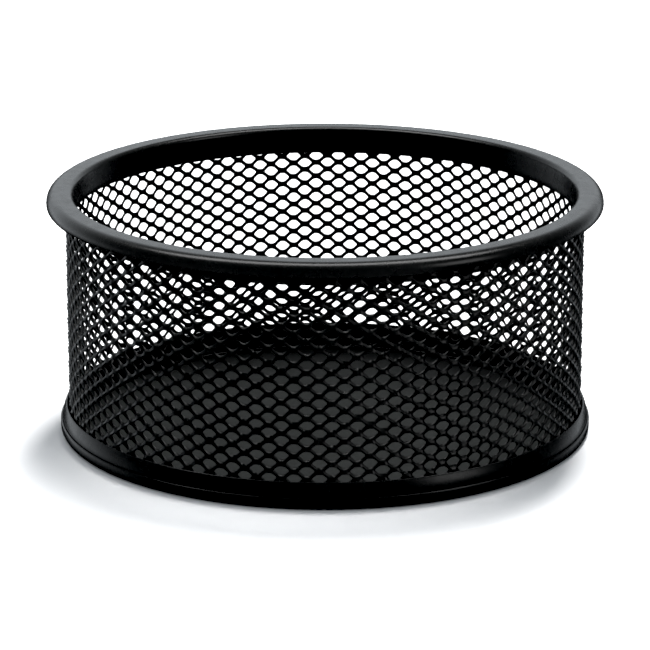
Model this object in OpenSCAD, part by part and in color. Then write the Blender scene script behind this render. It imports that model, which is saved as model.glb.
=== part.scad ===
// Low round mesh cup for a desk: a pressed top rim, a wall of expanded metal, a flared base ring
// and a floor disc whose edge is crimped up round the foot of the ring.
// Millimetres, +Z up, origin on the desk at the centre of the foot.

/* [Overall] */
// Height from the desk to the top of the rim
cup_h = 46; // [42:0.5:60]
// Radius to the middle of the mesh sheet
wall_r = 48; // [46:0.5:48.5]
// Radius to the outside of the top rim
rim_r = 51.9; // [51.5:0.1:66]
// Radius to the outside of the crimped foot
foot_r = 50; // [49.8:0.1:51.6]

/* [Sheet] */
// Thickness of the sheet in the top rim
rim_t = 0.5; // [0.3:0.1:0.6]
// Thickness of the sheet in the base ring and the floor
base_t = 0.4; // [0.3:0.1:0.5]
// Thickness of the mesh, over its tilted strands
mesh_t = 0.9; // [0.6:0.1:1]

/* [Top rim] */
// Height of the smooth skirt inside the mesh
skirt_h = 5.2; // [4:0.1:9]
// Outside radius of the bend from the skirt to the flange
crest_r = 0.9; // [0.8:0.1:1.4]
// Outside radius of the bend that rolls the flange down
roll_r = 1.8; // [1.4:0.1:2]
// Straight drop of the lip below the roll
lip_drop = 0.3; // [0.1:0.1:1]
// Height of the hem folded up inside the lip
hem_h = 0.7; // [0.4:0.1:0.8]

/* [Base] */
// Height of the base ring's top edge above the desk
ring_h = 5; // [4:0.1:8]
// Height of the crimped edge of the floor outside the ring
crimp_h = 2.3; // [1.6:0.1:3]
// Radius of the raised middle panel of the floor
panel_r = 44.5; // [30:0.5:44.5]
// Rise of the middle panel, which keeps it off the desk
panel_rise = 0.5; // [0.3:0.1:1]
// Inner radius of the base ring's flange under the mesh
flange_r = 46.6; // [46:0.1:47]

/* [Seam and welds] */
// Where the lap in the mesh begins, in degrees from +X
lap_angle = 162; // [0:1:350]
// Width of the lap, in degrees
lap_span = 10.5; // [6:0.5:16]
// Spot welds round the top rim
rim_weld_count = 16; // [8:1:24]
// Spot welds round the base ring
base_weld_count = 12; // [8:1:24]
// Spot welds down the lap
seam_weld_count = 6; // [3:1:10]
// Diameter of a spot weld
weld_d = 1.4; // [1:0.1:2]

/* [Hidden] */
$fn = 96;
powder_coat = "#26282a";
weld_gap = 0.15;
lap_gap = 0.1;
overcut = 1;
// Mesh sheet
mesh_in = wall_r - mesh_t / 2;
mesh_out = wall_r + mesh_t / 2;
mesh_low = 2 * base_t + 0.05;
mesh_high = cup_h - rim_t - 0.1;
// The lap starts above the base ring, where the outer layer is free of it
lap_in = mesh_out + lap_gap;
lap_out = lap_in + mesh_t;
lap_low = ring_h + 0.4;
lap_edge = 0.8;
// Top rim
skirt_out = mesh_in - weld_gap;
skirt_in = skirt_out - rim_t;
skirt_low = cup_h - skirt_h;
crest_x = skirt_in + crest_r;
crest_z = cup_h - crest_r;
roll_x = rim_r - roll_r;
roll_z = cup_h - roll_r;
lip_z = roll_z - lip_drop;
hem_r = rim_t + 0.05;
hem_x = rim_r - hem_r;
// Base ring: one arc that is upright at the crimp and leans inward above it
ring_out = foot_r - base_t;
ring_top_r = mesh_out + base_t + 0.1;
flare_in = ring_out - ring_top_r;
flare_up = ring_h - crimp_h;
flare_r = (flare_in * flare_in + flare_up * flare_up) / (2 * flare_in);
flare_x = ring_out - flare_r;
// Foot bend, shared by the crimped floor and the ring inside it
foot_bend = 1;
foot_x = foot_r - foot_bend;
// Heights of the welds
rim_weld_z = skirt_low + 2;
base_weld_z = ring_h - 0.4 - weld_d / 2;
seam_weld_z = lap_low + 2;
seam_weld_step = (skirt_low - seam_weld_z) / (seam_weld_count - 1);

// A rectangle of the section, from one corner to the other
module plate(x0, z0, x1, z1) {
    translate([x0, z0])
        square([x1 - x0, z1 - z0]);
}

// A quarter bend of sheet round a centre; side_x and side_z are 1 or -1 and choose the quarter
module quarter_bend(x, z, outside, thickness, side_x, side_z) {
    translate([x, z])
        scale([side_x, side_z])
            intersection() {
                difference() {
                    circle(r = outside);
                    circle(r = outside - thickness);
                }
                square(outside + overcut);
            }
}

// The skirt, the flange and the lip with its hem, in section
module rim_section() {
    plate(skirt_in, skirt_low, skirt_out, crest_z);
    quarter_bend(crest_x, crest_z, crest_r, rim_t, -1, 1);
    plate(crest_x, cup_h - rim_t, roll_x, cup_h);
    quarter_bend(roll_x, roll_z, roll_r, rim_t, 1, 1);
    plate(rim_r - rim_t, lip_z, rim_r, roll_z);
    quarter_bend(hem_x, lip_z, hem_r, rim_t, 1, -1);
    quarter_bend(hem_x, lip_z, hem_r, rim_t, -1, -1);
    plate(hem_x - hem_r, lip_z, hem_x - hem_r + rim_t, lip_z + hem_h);
}

// Sheet-steel rim: the skirt stands inside the mesh and the flange covers its top edge
module top_rim() {
    color(powder_coat)
        rotate_extrude()
            rim_section();
}

// A flat ring between two radii, or the part of it from one angle over a span
module ring(inside, outside, angle = 0, span = 360) {
    reach = 2 * wall_r;
    intersection() {
        difference() {
            circle(r = outside);
            circle(r = inside);
        }
        if (span < 180)
            rotate(angle)
                polygon([[0, 0], [reach, 0], [reach * cos(span), reach * sin(span)]]);
        else
            circle(r = reach);
    }
}

// The mesh sheet in plan. Above the base ring its outer layer laps over: it is joined by a jog at one
// side and stands a little off the inner layer elsewhere.
module sheet_plan(lapped) {
    ring(mesh_in, mesh_out);
    if (lapped)
        difference() {
            ring(wall_r, lap_out, lap_angle, lap_span);
            ring(mesh_out, lap_in, lap_angle - lap_edge, lap_span);
        }
}

// Expanded-metal sheet rolled round once, as thick as its tilted strands
module mesh_wall() {
    color(powder_coat) {
        translate([0, 0, mesh_low])
            linear_extrude(height = lap_low - mesh_low)
                sheet_plan(lapped = false);
        translate([0, 0, lap_low])
            linear_extrude(height = mesh_high - lap_low)
                sheet_plan(lapped = true);
    }
}

// The flared band, its foot inside the crimp and its flange under the mesh, in section
module ring_section() {
    intersection() {
        translate([flare_x, crimp_h])
            difference() {
                circle(r = flare_r);
                circle(r = flare_r - base_t);
            }
        plate(ring_top_r - 1, crimp_h, ring_out + overcut, ring_h);
    }
    plate(ring_out - base_t, foot_bend, ring_out, crimp_h);
    quarter_bend(foot_x, foot_bend, foot_bend - base_t, base_t, 1, -1);
    plate(flange_r, base_t, foot_x, 2 * base_t);
}

// Sheet-steel ring outside the foot of the mesh
module base_ring() {
    color(powder_coat)
        rotate_extrude()
            ring_section();
}

// The raised panel, the foot and the crimped edge, in section
module floor_section() {
    step = panel_rise + base_t;
    plate(0, panel_rise, panel_r, step);
    polygon([
        [panel_r, panel_rise],
        [panel_r + panel_rise, 0],
        [panel_r + step, 0],
        [panel_r + step, base_t],
        [panel_r + panel_rise + base_t / 2, base_t],
        [panel_r + base_t / 2, step],
        [panel_r, step]
    ]);
    plate(panel_r + step, 0, foot_x, base_t);
    quarter_bend(foot_x, foot_bend, foot_bend, base_t, 1, -1);
    plate(foot_r - base_t, foot_bend, foot_r, crimp_h);
}

// Solid floor with a shallow raised panel; it stands on the band between the panel and the foot
module floor_disc() {
    color(powder_coat)
        rotate_extrude()
            floor_section();
}

// One spot weld: a flat nugget between two sheets, on a radius
module nugget(angle, z, inside, outside) {
    rotate([0, 0, angle])
        translate([inside, 0, z])
            rotate([0, 90, 0])
                cylinder(d = weld_d, h = outside - inside, $fn = 24);
}

// Spot welds between the rim's skirt and the mesh
module rim_welds() {
    color(powder_coat)
        for (i = [0:rim_weld_count - 1])
            nugget((i + 0.5) * 360 / rim_weld_count, rim_weld_z, skirt_out, mesh_in);
}

// Spot welds between the mesh and the base ring
module base_welds() {
    reach = flare_x + sqrt(pow(flare_r - base_t, 2) - pow(base_weld_z - crimp_h, 2));
    color(powder_coat)
        for (i = [0:base_weld_count - 1])
            nugget((i + 0.5) * 360 / base_weld_count, base_weld_z, mesh_out, reach);
}

// Spot welds between the two layers of the lap
module seam_welds() {
    color(powder_coat)
        for (i = [0:seam_weld_count - 1])
            nugget(lap_angle + lap_span / 2, seam_weld_z + i * seam_weld_step, mesh_out, lap_in);
}

top_rim();
mesh_wall();
base_ring();
floor_disc();
rim_welds();
base_welds();
seam_welds();
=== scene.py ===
"""Low round mesh desk cup: its looks, desk, lights and camera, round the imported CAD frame.

Metres, +Z up, unless a name or comment says mm."""
import math

import bmesh
import bpy
import numpy as np
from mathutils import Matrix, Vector


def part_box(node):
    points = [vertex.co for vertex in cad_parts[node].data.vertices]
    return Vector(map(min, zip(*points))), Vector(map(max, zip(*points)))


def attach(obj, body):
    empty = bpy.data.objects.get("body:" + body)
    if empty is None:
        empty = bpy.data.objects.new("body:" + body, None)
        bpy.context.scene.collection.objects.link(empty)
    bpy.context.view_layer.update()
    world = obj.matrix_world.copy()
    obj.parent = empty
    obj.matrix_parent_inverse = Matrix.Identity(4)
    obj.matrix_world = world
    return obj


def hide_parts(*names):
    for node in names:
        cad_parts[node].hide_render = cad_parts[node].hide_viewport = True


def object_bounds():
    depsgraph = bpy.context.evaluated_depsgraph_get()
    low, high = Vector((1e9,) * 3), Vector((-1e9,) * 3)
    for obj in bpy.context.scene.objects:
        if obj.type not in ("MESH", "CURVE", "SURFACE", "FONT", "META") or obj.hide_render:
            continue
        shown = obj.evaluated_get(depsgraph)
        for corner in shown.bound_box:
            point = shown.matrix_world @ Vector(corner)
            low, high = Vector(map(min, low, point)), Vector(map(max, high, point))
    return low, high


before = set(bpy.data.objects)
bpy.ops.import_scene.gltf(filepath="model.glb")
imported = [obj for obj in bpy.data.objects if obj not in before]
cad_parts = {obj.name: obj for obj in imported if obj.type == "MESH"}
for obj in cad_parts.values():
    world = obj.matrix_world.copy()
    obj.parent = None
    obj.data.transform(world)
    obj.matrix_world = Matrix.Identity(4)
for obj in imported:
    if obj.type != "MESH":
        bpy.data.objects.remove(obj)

MM = 0.001
CAD_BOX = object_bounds()


# ---------------------------------------------------------------- dimensions
# Heights and radii that the frame gives, in mm
def top_mm(node):
    """Height of a node's highest point."""
    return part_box(node)[1].z / MM


def low_mm(node):
    """Height of a node's lowest point."""
    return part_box(node)[0].z / MM


def out_mm(node):
    """Radius of a round node, measured along +X, away from the lap."""
    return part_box(node)[1].x / MM


CUP_TOP = top_mm("top_rim")
SKIRT_LOW = low_mm("top_rim")
RIM_OUT = out_mm("top_rim")
MESH_LOW = low_mm("mesh_wall")
MESH_TOP = top_mm("mesh_wall")
MESH_OUT = out_mm("mesh_wall")
RING_TOP = top_mm("base_ring")
RING_OUT = out_mm("base_ring")
FOOT_OUT = out_mm("floor_disc")
CRIMP_TOP = top_mm("floor_disc")

# Sheet metal, in mm, as in the CAD source
RIM_SHEET = 0.5
BASE_SHEET = 0.4
MESH_THICK = 0.9
WALL_R = MESH_OUT - MESH_THICK / 2
SKIRT_GAP = 0.15
CREST_R = 0.9
ROLL_R = 1.8
LIP_DROP = 0.3
HEM_R = RIM_SHEET + 0.05
HEM_H = 0.7
FOOT_BEND = 1.0
RING_LEAN = RING_OUT - (MESH_OUT + BASE_SHEET + 0.1)
PANEL_R = 44.5
PANEL_RISE = 0.5
PANEL_STEP_RUN = 0.85
FLANGE_R = 46.6

# Expanded metal: column and half-row pitch in mm, and half the length of a bond's middle line
COLUMN_DEG = 5.39
COLUMN = math.radians(COLUMN_DEG) * WALL_R
HALF_ROW = 1.411
BOND_HALF = 0.26
# A quarter of an opening's outline from its side tip to its top, each with its lean out of the sheet
OPENING = ((1.35, 0.0, 0.0), (1.25, 0.24, 0.12), (0.63, 0.77, 0.24), (0.27, 0.90, 0.34))
# Where on a strand's middle line, from the tip's bond to the top bond, those points are tied
STRAND_TIES = (0.0, 0.25, 0.75, 1.0)
STRAND_THICK = 0.44
EDGE_THICK = 0.36
STRAND_TILT = math.radians(36)
# How the rows of openings lie off level: a slope and a sag at the back, and a fixed level in front,
# in mm, reached between two turns from the back
ROW_SLOPE = 0.39
ROW_SAG = 0.70
ROW_FRONT = -0.85
ROW_EASE = (1.2, 2.1)

# The first column's place at the back, in degrees from +X and mm up, and the sheet's lap
BACK_DEG = 89.42
BACK_Z = 33.0
LAP_DEG = 162.0
LAP_SPAN = 10.5
LAP_JOG = 0.8
LAP_STEP = MESH_THICK + 0.1
LAP_LOW = RING_TOP + 0.4

TURN_STEPS = 288
# Edges sharper than these, in degrees, stay sharp: on bent sheet, and on the small strands
SHEET_SHARP = 35
STRAND_SHARP = 85

# The camera: focal length in mm, place in metres, and how far it looks down
CAMERA_LENS = 206.09
CAMERA_PLACE = (0, -0.6710, 0.2233)
CAMERA_DOWN_DEG = 16.911

# Light level that the picture shows as black
BLACK_POINT = 0.006
# The surround as a light: the direction it brightens towards, and its levels
SKY_LEAN = (-0.22, 0.93, -0.45)
SKY_DARK = 0.0
SKY_BRIGHT = 1.25
SKY_TINT = (0.90, 0.955, 1.0, 1)
SKY_SEEN = 1.1
SKY_REACH = (0.15, 0.8)
# Heights, as the Z of a direction, between which the surround fades in as a reflection
HORIZON = (0.03, 0.19)
# Far out to the sides, as the X of a direction, that horizon lies lower by the lift
SIDE = (0.35, 0.6)
SIDE_LIFT = 0.38
# Even light from all round on matt surfaces
DOME = 0.62


# ---------------------------------------------------------------- sections and revolving
def smooth(value):
    """Eases a value from 0 to 1, with level ends."""
    ease = np.clip(value, 0, 1)
    return ease * ease * (3 - 2 * ease)


def arc(x, z, radius, start, end, steps=8):
    """Points on an arc of a section, angles in degrees: 0 is outward and 90 is up."""
    return [
        (x + radius * math.cos(math.radians(a)), z + radius * math.sin(math.radians(a)))
        for a in np.linspace(start, end, steps + 1)
    ]


def sheet_outline(middle, thickness, closed_start=True):
    """Outline of a bent sheet round its middle line, with rounded edges."""
    line = np.array(middle, float)
    step = np.gradient(line, axis=0)
    step /= np.linalg.norm(step, axis=1)[:, None]
    side = np.stack([-step[:, 1], step[:, 0]], axis=1) * thickness / 2
    left = [tuple(p) for p in line + side]
    right = [tuple(p) for p in (line - side)[::-1]]

    def cap(centre, first):
        """A half circle from a point of the outline, round the end of the middle line."""
        reach = np.array(first) - centre
        begin = math.degrees(math.atan2(reach[1], reach[0]))
        return arc(centre[0], centre[1], thickness / 2, begin, begin - 180, 6)[1:-1]

    outline = left + cap(line[-1], left[-1]) + right
    if closed_start:
        outline += cap(line[0], right[-1])
    return outline


def new_object(name, vertices, faces, material):
    """A mesh object in metres from points in mm, smooth except at sharp edges."""
    mesh = bpy.data.meshes.new(name)
    mesh.from_pydata((np.asarray(vertices) * MM).tolist(), [], np.asarray(faces).tolist())
    obj = bpy.data.objects.new(name, mesh)
    bpy.context.scene.collection.objects.link(obj)
    obj.data.materials.append(material)
    mesh.shade_smooth()
    mesh.set_sharp_from_angle(angle=math.radians(SHEET_SHARP))
    return obj


def clean(obj, distance=1e-6):
    """Merges points that coincide and turns the faces outward."""
    bm = bmesh.new()
    bm.from_mesh(obj.data)
    bmesh.ops.remove_doubles(bm, verts=bm.verts, dist=distance)
    bmesh.ops.recalc_face_normals(bm, faces=bm.faces)
    bm.to_mesh(obj.data)
    bm.free()


def revolve(name, outline, material):
    """A solid of revolution round Z from a closed section outline in mm."""
    points = np.array(outline)
    turn = np.linspace(0, 2 * math.pi, TURN_STEPS, endpoint=False)
    count = len(points)
    x = np.outer(np.cos(turn), points[:, 0])
    y = np.outer(np.sin(turn), points[:, 0])
    z = np.broadcast_to(points[:, 1], x.shape)
    vertices = np.stack([x, y, z], axis=-1).reshape(-1, 3)
    faces = []
    for i in range(TURN_STEPS):
        here = i * count
        there = (i + 1) % TURN_STEPS * count
        for j in range(count):
            k = (j + 1) % count
            faces.append((here + j, there + j, there + k, here + k))
    obj = new_object(name, vertices, faces, material)
    clean(obj)
    return obj


# ---------------------------------------------------------------- materials
class Tree:
    """Short calls for building a material's nodes."""

    def __init__(self, name):
        self.material = bpy.data.materials.new(name)
        self.material.use_nodes = True
        self.nodes = self.material.node_tree.nodes
        self.links = self.material.node_tree.links
        self.shader = self.nodes["Principled BSDF"]
        self.place = self.add("ShaderNodeTexCoord").outputs["Object"]

    def add(self, kind, **values):
        """A node with its properties set."""
        node = self.nodes.new(kind)
        for key, value in values.items():
            setattr(node, key, value)
        return node

    def noise(self, size_mm, detail=2.0, roughness=0.5):
        """Noise whose features are about size_mm across."""
        node = self.add("ShaderNodeTexNoise")
        node.inputs["Scale"].default_value = 1 / (size_mm * MM)
        node.inputs["Detail"].default_value = detail
        node.inputs["Roughness"].default_value = roughness
        self.links.new(self.place, node.inputs["Vector"])
        return node.outputs["Fac"]

    def remap(self, value, low, high, start=0.3, end=0.7):
        """Maps a value from start..end to low..high."""
        node = self.add("ShaderNodeMapRange")
        for key, number in (("From Min", start), ("From Max", end), ("To Min", low), ("To Max", high)):
            node.inputs[key].default_value = number
        self.links.new(value, node.inputs["Value"])
        return node.outputs["Result"]

    def mix(self, factor, first, second):
        """A colour between two, by a factor."""
        node = self.add("ShaderNodeMix", data_type="RGBA")
        node.inputs[6].default_value = (*first, 1)
        node.inputs[7].default_value = (*second, 1)
        self.links.new(factor, node.inputs["Factor"])
        return node.outputs[2]

    def bump(self, height, depth_mm, below=None):
        """A bump of depth_mm from a 0 to 1 height, over an earlier one."""
        node = self.add("ShaderNodeBump")
        node.inputs["Distance"].default_value = depth_mm * MM
        self.links.new(height, node.inputs["Height"])
        if below is not None:
            self.links.new(below, node.inputs["Normal"])
        return node.outputs["Normal"]

    def put(self, socket, value):
        """Links a value to the shader."""
        self.links.new(value, self.shader.inputs[socket])


def powder_coat(name, dark, pale, gloss, peel_mm, specular=0.28):
    """Black powder coat: orange peel, fine grain, and slow drifts of tone and gloss."""
    tree = Tree(name)
    drift = tree.noise(14, detail=3)
    tree.put("Base Color", tree.mix(tree.remap(drift, 0, 1), dark, pale))
    cloud = tree.noise(2.2, detail=4, roughness=0.6)
    tree.put("Roughness", tree.remap(cloud, gloss[0], gloss[1]))
    tree.shader.inputs["Specular IOR Level"].default_value = specular
    peel = tree.bump(tree.noise(peel_mm, detail=1), 0.006)
    grain = tree.bump(tree.noise(0.16, detail=2), 0.0016, below=peel)
    tree.put("Normal", grain)
    return tree.material


INK, INK_PALE = (0.0040, 0.0042, 0.0042), (0.0070, 0.0073, 0.0072)
RIM_COAT = powder_coat("rim_powder_coat", INK, INK_PALE, (0.22, 0.30), 1.1)
MESH_COAT = powder_coat("mesh_powder_coat", INK, INK_PALE, (0.24, 0.36), 0.7, 0.22)
RING_COAT = powder_coat("ring_powder_coat", INK, INK_PALE, (0.22, 0.30), 1.1, 0.2)
SLATE, SLATE_PALE = (0.0054, 0.0060, 0.0056), (0.0074, 0.0082, 0.0076)
FLOOR_COAT = powder_coat("floor_powder_coat", SLATE, SLATE_PALE, (0.62, 0.74), 1.3, 0.2)
WELD_COAT = powder_coat("weld_powder_coat", INK, INK_PALE, (0.3, 0.42), 0.5)


def finish_piece(obj, node):
    """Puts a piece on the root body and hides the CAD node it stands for."""
    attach(obj, "root")
    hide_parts(node)


# ---------------------------------------------------------------- rim, ring and floor
def make_rim():
    """Rolled rim: skirt, tight crest, flange, roll, lip and the hem inside it."""
    half = RIM_SHEET / 2
    skirt = MESH_OUT - MESH_THICK - SKIRT_GAP - half
    crest_x = skirt - half + CREST_R
    roll_x = RIM_OUT - ROLL_R
    roll_z = CUP_TOP - ROLL_R
    lip_z = roll_z - LIP_DROP
    hem_x = RIM_OUT - HEM_R
    middle = [(skirt, z) for z in np.linspace(SKIRT_LOW + half, CUP_TOP - CREST_R, 5)[:-1]]
    middle += arc(crest_x, CUP_TOP - CREST_R, CREST_R - half, 180, 90, 8)
    middle += [(x, CUP_TOP - half) for x in np.linspace(crest_x, roll_x, 5)[1:-1]]
    middle += arc(roll_x, roll_z, ROLL_R - half, 90, 0, 12)
    middle += arc(hem_x, lip_z, HEM_R - half, 0, -180, 12)
    middle += [(hem_x - HEM_R + half, lip_z + HEM_H - half)]
    rim = revolve("rolled_rim", sheet_outline(middle, RIM_SHEET), RIM_COAT)
    finish_piece(rim, "top_rim")


def make_ring():
    """Flared base ring: a band that leans in above the crimp, and its foot under the mesh."""
    half = BASE_SHEET / 2
    flare_up = RING_TOP - CRIMP_TOP
    flare_r = (RING_LEAN**2 + flare_up**2) / (2 * RING_LEAN)
    flare_x = RING_OUT - flare_r
    top_angle = math.degrees(math.asin((flare_up - half) / (flare_r - half)))
    middle = arc(flare_x, CRIMP_TOP, flare_r - half, top_angle, 0, 14)
    middle += arc(FOOT_OUT - FOOT_BEND, FOOT_BEND, FOOT_BEND - BASE_SHEET - half, 0, -90, 6)
    middle += [(FLANGE_R + half, BASE_SHEET + half)]
    ring = revolve("flared_ring", sheet_outline(middle, BASE_SHEET), RING_COAT)
    finish_piece(ring, "base_ring")


def make_floor():
    """Floor disc: raised panel, soft step, foot band and the edge crimped up outside the ring."""
    half = BASE_SHEET / 2
    panel_z = PANEL_RISE + half
    step = PANEL_RISE
    swing = step * PANEL_STEP_RUN
    middle = [(x, panel_z) for x in np.linspace(0, PANEL_R - swing, 8)[:-1]]
    ease = np.linspace(0, 1, 9)
    slope = smooth(ease)
    run = PANEL_R + step - (PANEL_R - swing)
    middle += [(PANEL_R - swing + run * e, panel_z - step * s) for e, s in zip(ease, slope)]
    middle += arc(FOOT_OUT - FOOT_BEND, FOOT_BEND, FOOT_BEND - half, -90, 0, 8)
    middle += [(FOOT_OUT - half, CRIMP_TOP - half)]
    floor = revolve("floor_pan", sheet_outline(middle, BASE_SHEET, closed_start=False), FLOOR_COAT)
    floor.data.materials.append(RING_COAT)
    for face in floor.data.polygons:
        face.material_index = int(math.hypot(face.center.x, face.center.y) > FLANGE_R * MM)
    finish_piece(floor, "floor_disc")


# ---------------------------------------------------------------- expanded-metal wall
def opening_ring():
    """The points round one opening: (x, y) on the strands' middle lines, (x, y, lean) on its edge.

    x runs along the sheet and y up it. The strand below an opening leans inward towards it, and the
    one above leans outward."""
    tip = np.array((COLUMN / 2 - BOND_HALF, 0.0))
    top = np.array((BOND_HALF, HALF_ROW))
    quarter = []
    for (x, y, lean), tie in zip(OPENING, STRAND_TIES):
        middle = tip * (1 - tie) + top * tie
        quarter.append((*middle, x, y, lean))
    ring = quarter + [(-mx, my, -x, y, lean) for mx, my, x, y, lean in quarter[::-1]]
    ring += [(mx, -my, x, -y, -lean) for mx, my, x, y, lean in ring[-2:0:-1]]
    return np.array(ring)


def opening_tile():
    """One opening's ring of half strands, band by band from front to back: (bands, ring, 3)."""
    ring = opening_ring()
    middle = np.column_stack([ring[:, 0:2], np.zeros(len(ring))])
    edge = ring[:, 2:5]
    face = np.array((0, math.sin(STRAND_TILT), math.cos(STRAND_TILT)))
    front = face * STRAND_THICK / 2
    rim = face * EDGE_THICK / 2
    return np.array([middle + front, edge + rim, edge - rim, middle - front])


def sheet_rise(turn):
    """How far the rows lie above their level at the back, in mm, by the angle from +Y towards +X."""
    back = ROW_SLOPE * turn - ROW_SAG * (1 - np.cos(turn))
    ease = smooth((turn - ROW_EASE[0]) / (ROW_EASE[1] - ROW_EASE[0]))
    return back * (1 - ease) + ROW_FRONT * ease


def flat_sheet():
    """The whole sheet laid flat, with its first and last column.

    x is the turn from the back in columns, y the height and z the offset out of the sheet."""
    tile = opening_tile()
    bands, ring = tile.shape[:2]
    first = (BACK_DEG - (LAP_DEG + LAP_SPAN)) / COLUMN_DEG
    last = (BACK_DEG - (LAP_DEG - 360)) / COLUMN_DEG
    centres = []
    lowest = int((MESH_LOW - BACK_Z) / HALF_ROW) - 2
    highest = int((MESH_TOP - BACK_Z) / HALF_ROW) + 2
    for row in range(lowest, highest + 1):
        shift = row % 2 / 2
        for column in range(math.floor(first) - 1, math.ceil(last) + 2):
            centres.append((column + shift, BACK_Z + row * HALF_ROW))
    centres = np.array(centres)
    points = np.broadcast_to(tile, (len(centres), bands, ring, 3)).copy()
    points[..., 0] = points[..., 0] / COLUMN + centres[:, None, None, 0]
    points[..., 1] += centres[:, None, None, 1]
    index = np.arange(points.size // 3).reshape(len(centres), bands, ring)
    after = np.roll(index, -1, axis=2)
    corners = [index[:, :-1], after[:, :-1], after[:, 1:], index[:, 1:]]
    faces = np.stack(corners, axis=-1).reshape(-1, 4)
    points = points.reshape(-1, 3)
    rounded = np.round(points, 5)
    kept, same = np.unique(rounded, axis=0, return_index=True, return_inverse=True)[1:]
    return points[kept], same.reshape(-1)[faces], first, last


def drift(points):
    """Small unevenness of a stretched sheet, in mm along, up and out."""
    x, y = points[:, 0], points[:, 1]
    along = 0.035 * np.sin(1.9 * x + 0.55 * y) + 0.02 * np.sin(4.7 * x - 1.1 * y + 1.3)
    up = 0.03 * np.sin(2.3 * x - 0.8 * y + 0.6) + 0.015 * np.sin(5.9 * x + 1.7 * y)
    out = 0.02 * np.sin(0.9 * x + 0.21 * y + 2.0)
    return along, up, out


def cut(bm, faces, at, normal):
    """Cuts these faces at a plane and removes what lies on the normal's side."""
    edges = list({e for f in faces for e in f.edges})
    verts = list({v for f in faces for v in f.verts})
    bmesh.ops.bisect_plane(
        bm, geom=list(faces) + edges + verts, dist=1e-7, plane_co=at, plane_no=normal, clear_outer=True
    )


def split(bm, at, normal):
    """Cuts all faces at a plane and keeps both sides joined."""
    geometry = bm.verts[:] + bm.edges[:] + bm.faces[:]
    bmesh.ops.bisect_plane(bm, geom=geometry, dist=1e-7, plane_co=at, plane_no=normal)


def make_mesh_wall():
    """Expanded metal rolled round once, lapped over itself at the left and welded there."""
    points, faces, first, last = flat_sheet()
    along, up, out = drift(points)
    turn = np.radians(points[:, 0] * COLUMN_DEG)
    points[:, 1] += sheet_rise(turn) + up
    points[:, 0] += along / COLUMN
    points[:, 2] += out
    centre = points[faces].mean(axis=1)
    inside = (centre[:, 0] > first - 1) & (centre[:, 0] < last + 1)
    inside &= (centre[:, 1] > MESH_LOW - 1) & (centre[:, 1] < MESH_TOP + 1)
    faces = faces[inside]
    used, packed = np.unique(faces, return_inverse=True)
    mesh = bpy.data.meshes.new("expanded_mesh")
    mesh.from_pydata(points[used].tolist(), [], packed.reshape(-1, 4).tolist())
    bm = bmesh.new()
    bm.from_mesh(mesh)
    jog = (BACK_DEG - (LAP_DEG + LAP_SPAN - 360)) / COLUMN_DEG
    cut(bm, bm.faces[:], (first, 0, 0), (-1, 0, 0))
    cut(bm, bm.faces[:], (last, 0, 0), (1, 0, 0))
    cut(bm, bm.faces[:], (0, MESH_LOW, 0), (0, -1, 0))
    cut(bm, bm.faces[:], (0, MESH_TOP, 0), (0, 1, 0))
    split(bm, (jog, 0, 0), (1, 0, 0))
    lap = [f for f in bm.faces if f.calc_center_median().x > jog]
    cut(bm, lap, (0, LAP_LOW, 0), (0, -1, 0))
    ends = [e for e in bm.edges if e.is_boundary]
    bmesh.ops.holes_fill(bm, edges=ends, sides=0)
    bmesh.ops.recalc_face_normals(bm, faces=bm.faces)
    bm.to_mesh(mesh)
    bm.free()

    flat = np.empty(len(mesh.vertices) * 3)
    mesh.vertices.foreach_get("co", flat)
    flat = flat.reshape(-1, 3)
    angle = np.radians(BACK_DEG - flat[:, 0] * COLUMN_DEG)
    step = smooth((flat[:, 0] - jog) / (LAP_JOG / COLUMN_DEG))
    radius = WALL_R + flat[:, 2] + LAP_STEP * step
    rolled = np.stack([radius * np.cos(angle), radius * np.sin(angle), flat[:, 1]], axis=1) * MM
    mesh.vertices.foreach_set("co", rolled.ravel())
    mesh.update()
    mesh.shade_smooth()
    mesh.set_sharp_from_angle(angle=math.radians(STRAND_SHARP))
    wall = bpy.data.objects.new("expanded_mesh", mesh)
    bpy.context.scene.collection.objects.link(wall)
    mesh.materials.append(MESH_COAT)
    finish_piece(wall, "mesh_wall")


make_rim()
make_ring()
make_floor()
make_mesh_wall()
for weld_node in ("rim_welds", "base_welds", "seam_welds"):
    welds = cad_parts[weld_node]
    for index in range(len(welds.material_slots)):
        welds.material_slots[index].material = WELD_COAT


# ---------------------------------------------------------------- floor, light and camera
def make_stage():
    """Plain white desk top."""
    material = bpy.data.materials.new("desk_white")
    material.use_nodes = True
    shader = material.node_tree.nodes["Principled BSDF"]
    shader.inputs["Base Color"].default_value = (0.86, 0.86, 0.865, 1)
    shader.inputs["Roughness"].default_value = 0.5
    shader.inputs["Specular IOR Level"].default_value = 0.2
    bpy.ops.mesh.primitive_plane_add(size=6, location=(0, 0, CAD_BOX[0][2] - 0.00002))
    desk = bpy.context.object
    desk.name = "desk"
    desk.data.materials.append(material)
    desk.visible_glossy = False


def softbox(name, centre, target, width, height, watts, glossy=False, diffuse=True):
    """A rectangular area light that faces a target; glossy and diffuse say what it lights."""
    data = bpy.data.lights.new(name, "AREA")
    data.shape = "RECTANGLE"
    data.size = width
    data.size_y = height
    data.energy = watts
    obj = bpy.data.objects.new(name, data)
    bpy.context.scene.collection.objects.link(obj)
    obj.location = centre
    direction = Vector(target) - Vector(centre)
    obj.rotation_euler = direction.to_track_quat("-Z", "Y").to_euler()
    obj.visible_glossy = glossy
    obj.visible_diffuse = diffuse
    return obj


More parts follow.
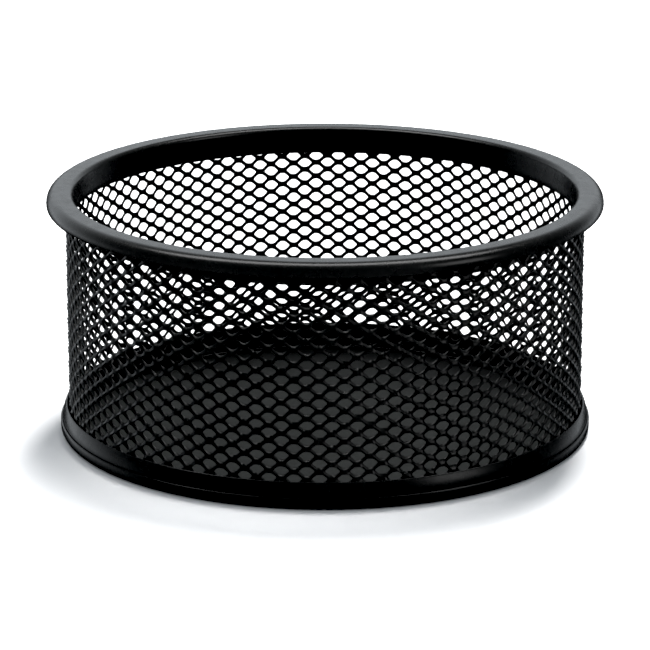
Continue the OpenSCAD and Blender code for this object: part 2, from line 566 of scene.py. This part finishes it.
def make_world():
    """White surround to the eye; as light it is bright behind and dark on the near side."""
    world = bpy.data.worlds.new("studio")
    bpy.context.scene.world = world
    world.use_nodes = True
    nodes, links = world.node_tree.nodes, world.node_tree.links
    coords = nodes.new("ShaderNodeTexCoord")

    def fade(value, start, end, low, high):
        """Eases a value from start..end to low..high."""
        node = nodes.new("ShaderNodeMapRange")
        node.interpolation_type = "SMOOTHSTEP"
        for key, number in (("From Min", start), ("From Max", end), ("To Min", low), ("To Max", high)):
            node.inputs[key].default_value = number
        links.new(value, node.inputs["Value"])
        return node.outputs["Result"]

    def calculate(operation, *values):
        """A maths node on these values."""
        node = nodes.new("ShaderNodeMath")
        node.operation = operation
        for value, socket in zip(values, node.inputs):
            links.new(value, socket)
        return node.outputs["Value"]

    lean = nodes.new("ShaderNodeVectorMath")
    lean.operation = "DOT_PRODUCT"
    lean.inputs[1].default_value = SKY_LEAN
    links.new(coords.outputs["Generated"], lean.inputs[0])
    reach = fade(lean.outputs["Value"], *SKY_REACH, SKY_DARK, SKY_BRIGHT)
    axes = nodes.new("ShaderNodeSeparateXYZ")
    links.new(coords.outputs["Generated"], axes.inputs["Vector"])
    lift = fade(calculate("ABSOLUTE", axes.outputs["X"]), *SIDE, 0, SIDE_LIFT)
    above = fade(calculate("ADD", axes.outputs["Z"], lift), *HORIZON, 0, 1)
    sky = calculate("MULTIPLY", reach, above)
    path = nodes.new("ShaderNodeLightPath")
    dome = nodes.new("ShaderNodeMix")
    links.new(path.outputs["Is Diffuse Ray"], dome.inputs["Factor"])
    links.new(sky, dome.inputs[2])
    dome.inputs[3].default_value = DOME
    seen = nodes.new("ShaderNodeMix")
    links.new(path.outputs["Is Camera Ray"], seen.inputs["Factor"])
    links.new(dome.outputs[0], seen.inputs[2])
    seen.inputs[3].default_value = SKY_SEEN
    links.new(seen.outputs[0], nodes["Background"].inputs["Strength"])
    nodes["Background"].inputs["Color"].default_value = SKY_TINT


def make_camera():
    """Long lens, looking down at the cup a little."""
    data = bpy.data.cameras.new("camera")
    data.sensor_width = 36
    data.lens = CAMERA_LENS
    data.clip_end = 20
    camera = bpy.data.objects.new("camera", data)
    bpy.context.scene.collection.objects.link(camera)
    camera.location = CAMERA_PLACE
    camera.rotation_euler = (math.radians(90 - CAMERA_DOWN_DEG), 0, 0)
    bpy.context.scene.camera = camera


make_stage()
make_world()
softbox("key_behind", (0.10, 0.42, 1.02), (0, 0, 0.02), 0.25, 0.5, 28)
softbox("strip_above", (0, 0.11, 1.0), (0, 0, 0.04), 1.4, 0.42, 15, glossy=True, diffuse=False)
softbox("card_right", (0.88, -0.58, 0.34), (0, 0, 0.0), 0.4, 0.5, 1.8, glossy=True, diffuse=False)
make_camera()
view = bpy.context.scene.view_settings
view.view_transform = "Standard"
view.use_curve_mapping = True
view.curve_mapping.black_level = (BLACK_POINT,) * 3
view.curve_mapping.update()
